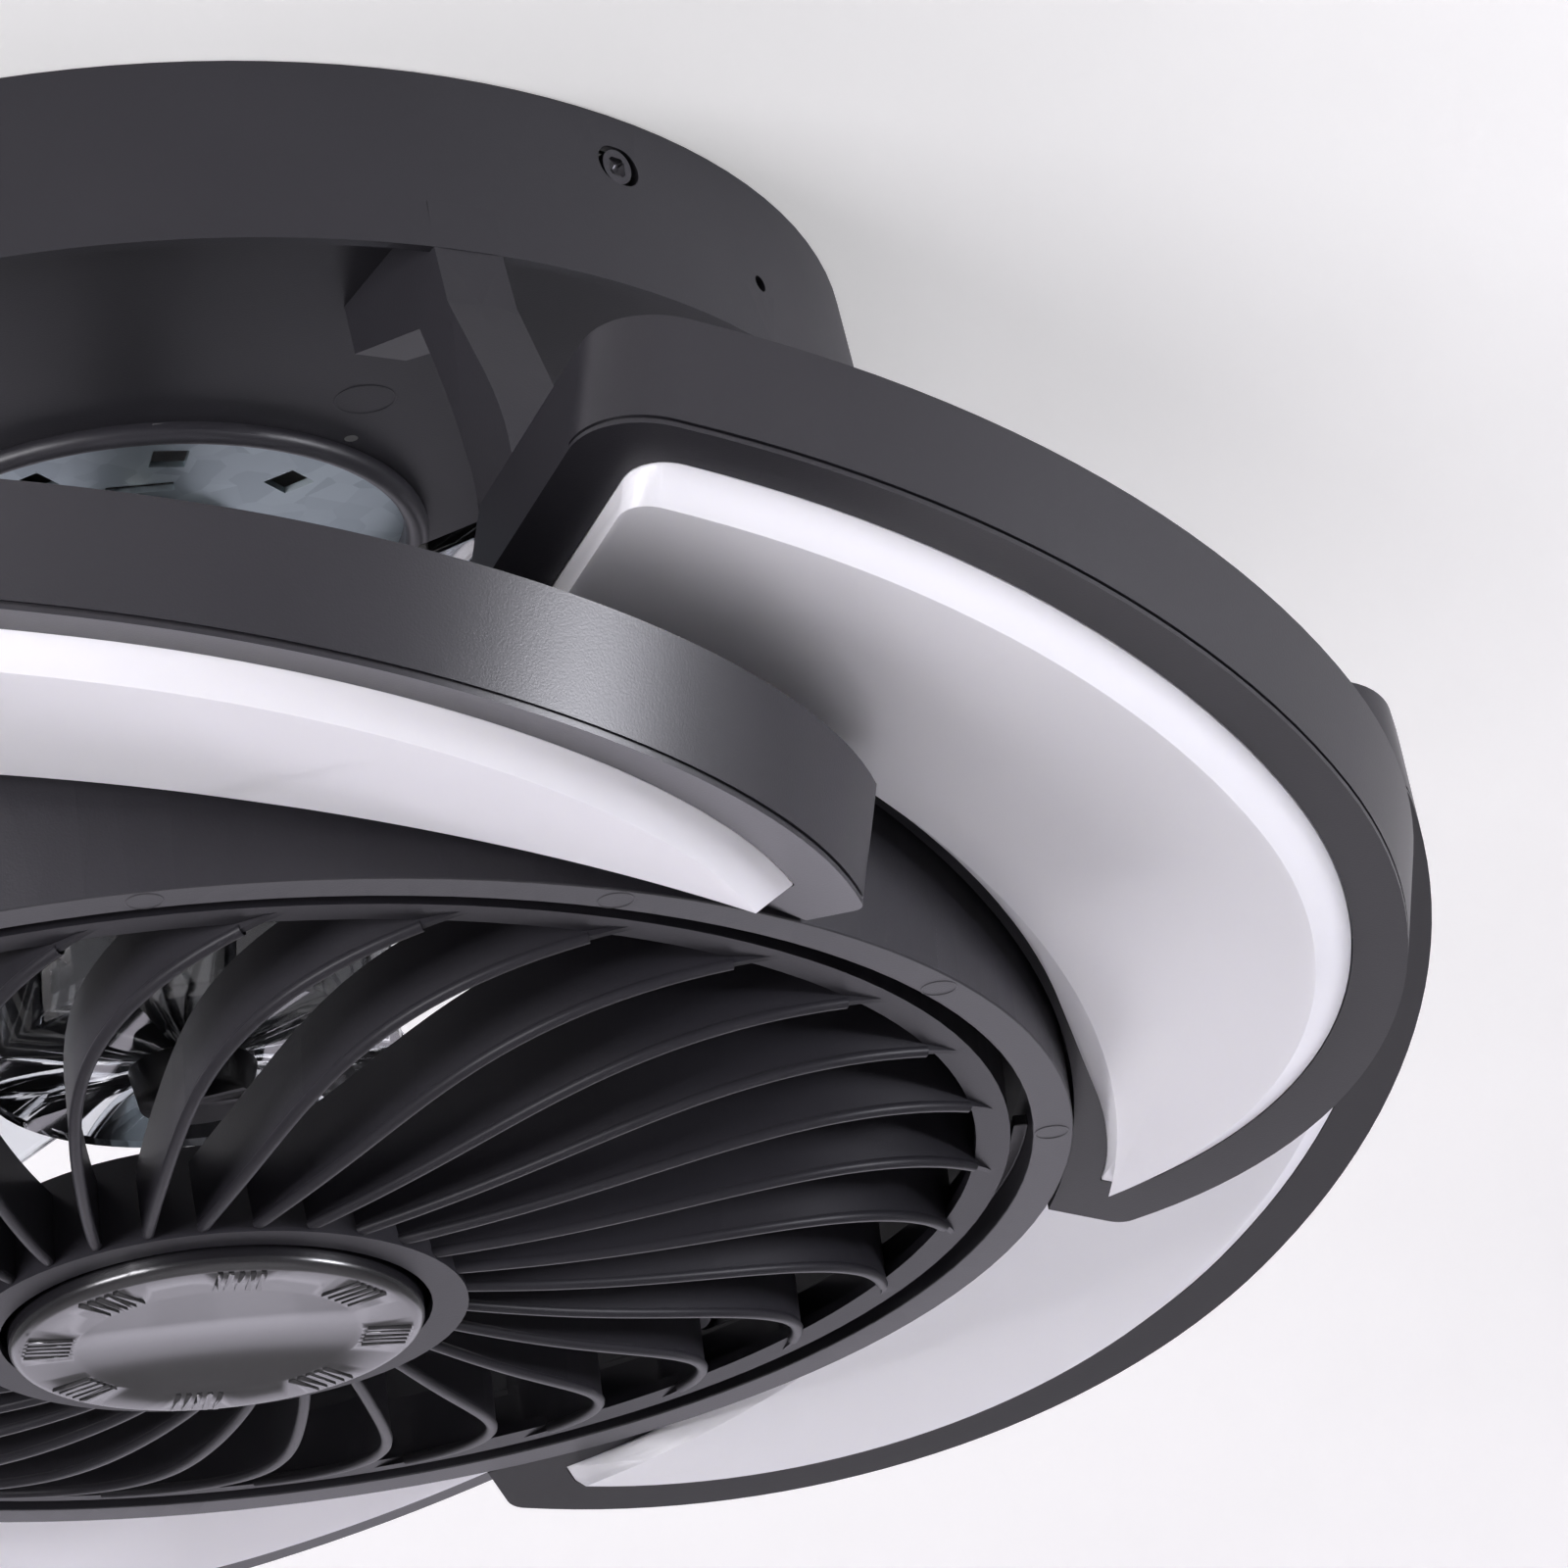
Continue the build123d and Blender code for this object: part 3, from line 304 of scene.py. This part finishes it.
class PetalFrame:
    """Heights and directions as one petal sees them."""

    def __init__(self, number):
        turn = Matrix.Rotation((number - 1) * PETAL_TURN, 3, "Z")
        self.up = (turn @ RIM_PLANE_TILT).normalized()
        self.level = RIM_PLANE_LEVEL / RIM_PLANE_TILT.length
        self.side_centre = turn @ SIDE_CENTRE

    def height(self, point):
        """How far a point is above the rim plane."""
        return self.up.dot(point) - self.level


def join_flat_faces(shape):
    """Joins the triangles of each flat facet."""
    bmesh.ops.dissolve_limit(
        shape, angle_limit=FLAT_ANGLE, verts=shape.verts, edges=shape.edges, delimit={"NORMAL"}
    )


def sink_groove(shape, petal):
    """Sinks the shadow line that runs round the petal's wall, just above its rim."""
    join_flat_faces(shape)
    for height in (GROOVE_LOW, GROOVE_HIGH):
        bmesh.ops.bisect_plane(
            shape,
            geom=shape.verts[:] + shape.edges[:] + shape.faces[:],
            plane_co=petal.up * (petal.level + height),
            plane_no=petal.up,
        )
    band = []
    for face in shape.faces:
        middle = face.calc_center_median()
        out = Vector((middle.x, middle.y, 0)).normalized()
        square = abs(out.dot(face.normal)) > INNER_WALL_SQUARENESS
        on_inner_wall = middle.xy.length < INNER_WALL_RADIUS and square
        outward = face.normal.dot(middle - petal.side_centre) > 0
        in_band = GROOVE_LOW < petal.height(middle) < GROOVE_HIGH
        if in_band and outward and not on_inner_wall:
            band.append(face)
    bmesh.ops.inset_region(
        shape, faces=band, thickness=0.0, depth=-GROOVE_DEPTH, use_even_offset=True
    )


def soften_diffuser(shape, petal):
    """Rounds the edges of the diffuser's face, widely, as the moulding is."""
    join_flat_faces(shape)
    lowest = DIFFUSER_FACE_MARGIN - DIFFUSER_DROP
    creases = []
    for edge in shape.edges:
        on_face = all(petal.height(vertex.co) < lowest for vertex in edge.verts)
        if on_face and edge.calc_face_angle(0.0) > DIFFUSER_CREASE:
            creases.append(edge)
    bmesh.ops.bevel(
        shape,
        geom=creases,
        offset=DIFFUSER_ROUND,
        offset_type="OFFSET",
        segments=DIFFUSER_ROUND_STEPS,
        profile=0.5,
        affect="EDGES",
        clamp_overlap=True,
    )
    for face in shape.faces:
        face.smooth = face.calc_area() < DIFFUSER_FACE_AREA


def smooth_copy(node, bevel_mm):
    """A merged, smooth-shaded copy of a CAD node with slightly eased edges."""
    mesh = NODES[node].data.copy()
    shape = bmesh.new()
    shape.from_mesh(mesh)
    bmesh.ops.remove_doubles(shape, verts=shape.verts, dist=MERGE_REACH)
    kind, _, number = node.rpartition("_")
    if kind == "petal_shell":
        sink_groove(shape, PetalFrame(int(number)))
    for face in shape.faces:
        face.smooth = True
    if kind == "diffuser":
        soften_diffuser(shape, PetalFrame(int(number)))
    if node == "centre_cap":
        for face in shape.faces:
            face.smooth = abs(face.normal.z) < LEVEL_NORMAL
    shape.to_mesh(mesh)
    shape.free()
    mesh.set_sharp_from_angle(angle=SHARP_ANGLE)
    piece = bpy.data.objects.new(node + "_moulding", mesh)
    if bevel_mm:
        bevel = piece.modifiers.new("eased_edges", "BEVEL")
        bevel.width = bevel_mm * MM
        bevel.segments = 2
        bevel.limit_method = "ANGLE"
        bevel.angle_limit = EASED_ANGLE
        bevel.harden_normals = True
        even = piece.modifiers.new("even_normals", "WEIGHTED_NORMAL")
        even.keep_sharp = True
    return piece


def dress(piece, body, slot):
    """Puts a piece in the scene and gives it its surface and its body."""
    bpy.context.scene.collection.objects.link(piece)
    piece.data.materials.clear()
    piece.data.materials.append(SURFACES[slot])
    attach(piece, body)


# Nodes that a smooth copy stands for, with the width of its eased edges in millimetres.
# Those at zero are only shaded smooth, or are shaped by a function of their own.
EASED_EDGES = {
    "upper_housing": 0.4,
    "duct_ring": 0.35,
    "grille": 0.3,
    "mounting_bracket": 0.3,
    "led_driver": 0.3,
    "receiver_box": 0.3,
    "terminal_block": 0.3,
    "centre_cap": 0.0,
    "rotor_can": 0.0,
    "fan_impeller": 0.0,
    "motor_plate": 0.0,
    "side_screws": 0.0,
    "lead_conduit": 0.0,
    "motor_base": 0.0,
    "impeller_nut": 0.0,
}
for number in range(1, PETAL_COUNT + 1):
    EASED_EDGES[f"petal_shell_{number}"] = 0.5
    EASED_EDGES[f"diffuser_{number}"] = 0.0

for node, source in NODES.items():
    slot = SLOT_OF_NODE[node]
    if node in EASED_EDGES:
        piece = smooth_copy(node, EASED_EDGES[node])
        dress(piece, BODY_OF_NODE[node], slot)
        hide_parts(node)
    else:
        source.data.materials.clear()
        source.data.materials.append(SURFACES[slot])

# The grille's vanes end in beads that follow their lips. Radii and heights are in millimetres,
# angles in degrees, and each point of the lip's arc is a radius and a height.
VANE_COUNT = 29
VANE_CURVE_START = 52.0
VANE_CURVE_LENGTH = 118.0
VANE_ROOT_AZIMUTH = -104.1
VANE_SWEEP = 33.2
VANE_BOW = 11.0
VANE_SWAY = 26.3
LIP_ROOT = (49.85, -216.5)
LIP_MIDDLE = (111.0, -211.3)
LIP_END = (172.2, -195.4)
BEAD_INNER_RADIUS = 53.0
BEAD_OUTER_RADIUS = 165.6
BEAD_RADIUS = 1.35
BEAD_RISE = 0.6
BEAD_STEPS = 40
BEAD_SIDES = 10


def circle_through(first, second, third):
    """Centre and radius of the circle through three plane points."""
    rows = [(p[0] - first[0], p[1] - first[1]) for p in (second, third)]
    sums = [(x * x + y * y) / 2 for x, y in rows]
    spread = rows[0][0] * rows[1][1] - rows[1][0] * rows[0][1]
    x = (sums[0] * rows[1][1] - sums[1] * rows[0][1]) / spread
    y = (rows[0][0] * sums[1] - rows[1][0] * sums[0]) / spread
    return first[0] + x, first[1] + y, math.hypot(x, y)


def vane_lip(radius):
    """A point of the first vane's lip, in metres, at a radius in millimetres."""
    t = (radius - VANE_CURVE_START) / VANE_CURVE_LENGTH
    bend = t * (1 - t) * (VANE_BOW + VANE_SWAY * (2 * t - 1))
    azimuth = math.radians(VANE_ROOT_AZIMUTH + VANE_SWEEP * t - bend)
    across, level, swing = circle_through(LIP_ROOT, LIP_MIDDLE, LIP_END)
    height = level - math.sqrt(swing**2 - (radius - across) ** 2) + BEAD_RISE
    return (radius * math.cos(azimuth) * MM, radius * math.sin(azimuth) * MM, height * MM)


def pattern_result(piece, tree, sizes):
    """The mesh that a Geometry Nodes tree makes of a piece, with sizes for its named inputs."""
    modifier = piece.modifiers.new("pattern", "NODES")
    modifier.node_group = tree
    for socket in tree.interface.items_tree:
        if socket.name in sizes:
            modifier[socket.identifier] = sizes[socket.name]
    bpy.context.scene.collection.objects.link(piece)
    bpy.context.view_layer.update()
    evaluated = piece.evaluated_get(bpy.context.evaluated_depsgraph_get())
    mesh = bpy.data.meshes.new_from_object(evaluated)
    bpy.data.objects.remove(piece)
    return mesh


def lip_beads_tree(material):
    """Sweeps a round bead along the lip, and repeats it for every vane."""
    tree = bpy.data.node_groups.new("lip_beads", "GeometryNodeTree")
    tree.interface.new_socket("Lip", in_out="INPUT", socket_type="NodeSocketGeometry")
    tree.interface.new_socket("Bead radius", in_out="INPUT", socket_type="NodeSocketFloat")
    tree.interface.new_socket("Vane count", in_out="INPUT", socket_type="NodeSocketInt")
    tree.interface.new_socket("Beads", in_out="OUTPUT", socket_type="NodeSocketGeometry")
    given = add_node(tree, "NodeGroupInput").outputs
    path = add_node(tree, "GeometryNodeMeshToCurve", {"Mesh": given["Lip"]})
    section = add_node(
        tree,
        "GeometryNodeCurvePrimitiveCircle",
        {"Resolution": BEAD_SIDES, "Radius": given["Bead radius"]},
    )
    bead = add_node(
        tree,
        "GeometryNodeCurveToMesh",
        {"Curve": path.outputs[0], "Profile Curve": section.outputs[0]},
    )
    axis = add_node(tree, "GeometryNodePoints", {"Count": given["Vane count"]})
    place = add_node(tree, "GeometryNodeInputIndex")
    pitch = add_node(
        tree, "ShaderNodeMath", {0: math.tau, 1: given["Vane count"]}, operation="DIVIDE"
    )
    turn = add_node(
        tree,
        "ShaderNodeMath",
        {0: place.outputs[0], 1: pitch.outputs[0]},
        operation="MULTIPLY",
    )
    rotation = add_node(tree, "ShaderNodeCombineXYZ", {"Z": turn.outputs[0]})
    beads = add_node(
        tree,
        "GeometryNodeInstanceOnPoints",
        {
            "Points": axis.outputs[0],
            "Instance": bead.outputs[0],
            "Rotation": rotation.outputs[0],
        },
    )
    real = add_node(tree, "GeometryNodeRealizeInstances", {"Geometry": beads.outputs[0]})
    smooth = add_node(tree, "GeometryNodeSetShadeSmooth", {"Geometry": real.outputs[0]})
    dressed = add_node(
        tree, "GeometryNodeSetMaterial", {"Geometry": smooth.outputs[0], "Material": material}
    )
    add_node(tree, "NodeGroupOutput", {"Beads": dressed.outputs[0]})
    return tree


bead_span = BEAD_OUTER_RADIUS - BEAD_INNER_RADIUS
lip_points = [
    vane_lip(BEAD_INNER_RADIUS + bead_span * i / BEAD_STEPS) for i in range(BEAD_STEPS + 1)
]
lip_mesh = bpy.data.meshes.new("vane_lip")
lip_mesh.from_pydata(lip_points, [(i, i + 1) for i in range(BEAD_STEPS)], [])
bead_mesh = pattern_result(
    bpy.data.objects.new("vane_lip", lip_mesh),
    lip_beads_tree(SURFACES["charcoal_grille"]),
    {"Bead radius": BEAD_RADIUS * MM, "Vane count": VANE_COUNT},
)
dress(bpy.data.objects.new("vane_lip_beads", bead_mesh), "grille_cover", "charcoal_grille")

# Ejector marks: azimuth in degrees and radius in millimetres of each, on two level faces.
RING_MARKS = ((-92.0, 182.3), (-62.0, 182.3), (-33.0, 182.3), (-3.5, 182.3))
RING_MARK_RADIUS = 3.4
RING_FACE_HEIGHT = -196.5
FLOOR_MARKS = ((-52.5, 82.0),)
FLOOR_MARK_RADIUS = 6.4
FLOOR_FACE_HEIGHT = -34.0
MARK_SIDES = 32
MARK_SLOPE = 0.25 * MM
MARK_DEPTH = 0.15 * MM


def ejector_marks(name, places, level, radius):
    """Faint round witness lines that the mould's ejector pins leave on a level face."""
    shape = bmesh.new()
    for azimuth, out in places:
        turn = Matrix.Rotation(math.radians(azimuth), 4, "Z")
        middle = turn @ Matrix.Translation((out * MM, 0, level * MM))
        centre = middle.translation
        line = bmesh.ops.create_circle(
            shape, segments=MARK_SIDES, radius=radius * MM, matrix=middle
        )
        rim = list(dict.fromkeys(edge for vertex in line["verts"] for edge in vertex.link_edges))
        for depth in (MARK_DEPTH, 0.0):
            made = bmesh.ops.extrude_edge_only(shape, edges=rim)["geom"]
            for vertex in made:
                if isinstance(vertex, bmesh.types.BMVert):
                    vertex.co += (vertex.co - centre).normalized() * MARK_SLOPE
                    vertex.co.z = centre.z - depth
            rim = [edge for edge in made if isinstance(edge, bmesh.types.BMEdge)]
    mesh = bpy.data.meshes.new(name)
    shape.to_mesh(mesh)
    shape.free()
    mesh.shade_smooth()
    dress(bpy.data.objects.new(name, mesh), "housing", "charcoal_housing")


ejector_marks("ring_marks", RING_MARKS, RING_FACE_HEIGHT, RING_MARK_RADIUS)
ejector_marks("floor_marks", FLOOR_MARKS, FLOOR_FACE_HEIGHT, FLOOR_MARK_RADIUS)

# The stage: a ceiling and a floor whose own glow, where 1 is white, only the eye and a share of
# the reflections meet. The ceiling leaves the inside of the canopy dark.
CEILING_GLOW = 0.40
FLOOR_GLOW = 0.5
GLOSS_SHARE = 0.3
CANOPY_REACH = 158 * MM
CEILING_HEIGHT = 0.5 * MM
FLOOR_HEIGHT = -2.4
STAGE_SIZE = 14.0
EMULSION_MOTTLE_MM = 180.0


def background_share(tree):
    """How much of the background's glow a ray meets: all, or a share where it is a reflection."""
    ray = add_node(tree, "ShaderNodeLightPath").outputs
    gloss = add_node(
        tree, "ShaderNodeMath", {0: ray["Is Glossy Ray"], 1: GLOSS_SHARE}, operation="MULTIPLY"
    )
    seen = add_node(
        tree,
        "ShaderNodeMath",
        {0: ray["Is Camera Ray"], 1: gloss.outputs[0]},
        operation="MAXIMUM",
    )
    share = add_node(
        tree,
        "ShaderNodeMath",
        {0: seen.outputs[0], 1: ray["Is Transmission Ray"]},
        operation="MAXIMUM",
    )
    return share.outputs[0]


def pale_emulsion(name, strength):
    """Matt emulsion paint, seen from its front only so that a view from behind is clear."""
    made, tree = new_material(name)
    mottle = between(grain(tree, EMULSION_MOTTLE_MM), "#e6e5e4", "#eeedec")
    shade = add_node(tree, "ShaderNodeMix", mottle, data_type="RGBA").outputs[MIX_RESULT]
    place = add_node(tree, "ShaderNodeTexCoord")
    reach = add_node(
        tree, "ShaderNodeVectorMath", {0: place.outputs["Object"]}, operation="LENGTH"
    )
    outside = add_node(
        tree,
        "ShaderNodeMath",
        {0: reach.outputs["Value"], 1: CANOPY_REACH},
        operation="GREATER_THAN",
    )
    lit = add_node(
        tree,
        "ShaderNodeMath",
        {0: background_share(tree), 1: outside.outputs[0]},
        operation="MULTIPLY",
    )
    glow = add_node(
        tree, "ShaderNodeMath", {0: lit.outputs[0], 1: strength}, operation="MULTIPLY"
    )
    paint = add_node(
        tree,
        "ShaderNodeBsdfPrincipled",
        {
            "Base Color": shade,
            "Roughness": 0.9,
            "Emission Color": shade,
            "Emission Strength": glow.outputs[0],
        },
    )
    side = add_node(tree, "ShaderNodeNewGeometry")
    clear = add_node(tree, "ShaderNodeBsdfTransparent")
    one_sided = add_node(
        tree,
        "ShaderNodeMixShader",
        {0: side.outputs["Backfacing"], 1: paint.outputs[0], 2: clear.outputs[0]},
    )
    add_node(tree, "ShaderNodeOutputMaterial", {"Surface": one_sided.outputs[0]})
    return made


def stage_plane(name, height, facing_up, glow):
    """A large level sheet of the stage that faces up or down."""
    half = STAGE_SIZE / 2
    corners = [
        (-half, -half, height),
        (half, -half, height),
        (half, half, height),
        (-half, half, height),
    ]
    order = (0, 1, 2, 3) if facing_up else (3, 2, 1, 0)
    mesh = bpy.data.meshes.new(name)
    mesh.from_pydata(corners, [], [order])
    mesh.materials.append(pale_emulsion(name + "_emulsion", glow))
    piece = bpy.data.objects.new(name, mesh)
    bpy.context.scene.collection.objects.link(piece)


stage_plane("ceiling", CEILING_HEIGHT, facing_up=False, glow=CEILING_GLOW)
stage_plane("floor", FLOOR_HEIGHT, facing_up=True, glow=FLOOR_GLOW)

# The lamps, which all point at the fan's middle: place and size in metres, watts, and tint.
FAN_MIDDLE = Vector((0.0, 0.0, -0.15))
SOFTBOXES = {
    "softbox_right": ((2.0, -0.95, -0.30), (0.6, 0.4), 44.0, "#f6f6ff"),
    "softbox_left": ((-1.6, -1.4, -0.48), (1.1, 0.6), 52.0, "#fbf9ff"),
    "softbox_behind": ((0.0, 2.6, -1.0), (3.2, 1.6), 21.0, "#f4eeff"),
}
SKY_SEEN = 1.0
SKY_FELT = 0.08

for name, (place, size, power, tint) in SOFTBOXES.items():
    lamp = bpy.data.lights.new(name, "AREA")
    lamp.shape = "RECTANGLE"
    lamp.size, lamp.size_y = size
    lamp.energy = power
    lamp.color = linear(tint)[:3]
    holder = bpy.data.objects.new(name, lamp)
    holder.location = place
    holder.rotation_euler = (FAN_MIDDLE - Vector(place)).to_track_quat("-Z", "Y").to_euler()
    bpy.context.scene.collection.objects.link(holder)

world = bpy.data.worlds.new("studio")
bpy.context.scene.world = world
world.use_nodes = True
sky = world.node_tree
sky.nodes.clear()
seen = add_node(
    sky, "ShaderNodeBackground", {"Color": linear("#eeeef1"), "Strength": SKY_SEEN}
)
felt = add_node(
    sky, "ShaderNodeBackground", {"Color": linear("#f2f2f6"), "Strength": SKY_FELT}
)
both = add_node(
    sky,
    "ShaderNodeMixShader",
    {0: background_share(sky), 1: felt.outputs[0], 2: seen.outputs[0]},
)
add_node(sky, "ShaderNodeOutputWorld", {"Surface": both.outputs[0]})

# The camera looks up at the fan's right half, as the photograph does.
CAMERA_PLACE = (0.0, -1.5973, -0.8017)
CAMERA_AZIMUTH = 4.83
CAMERA_ELEVATION = 23.50
CAMERA_ROLL = -7.17
LENS_MM = 182.2
SENSOR_MM = 36.0

camera_data = bpy.data.cameras.new("camera")
camera_data.lens = LENS_MM
camera_data.sensor_width = SENSOR_MM
camera = bpy.data.objects.new("camera", camera_data)
camera.matrix_world = (
    Matrix.Translation(CAMERA_PLACE)
    @ Matrix.Rotation(math.radians(-CAMERA_AZIMUTH), 4, "Z")
    @ Matrix.Rotation(math.radians(90 + CAMERA_ELEVATION), 4, "X")
    @ Matrix.Rotation(math.radians(CAMERA_ROLL), 4, "Z")
)
bpy.context.scene.collection.objects.link(camera)
bpy.context.scene.camera = camera
bpy.context.scene.view_settings.view_transform = "Standard"

bpy.context.view_layer.update()
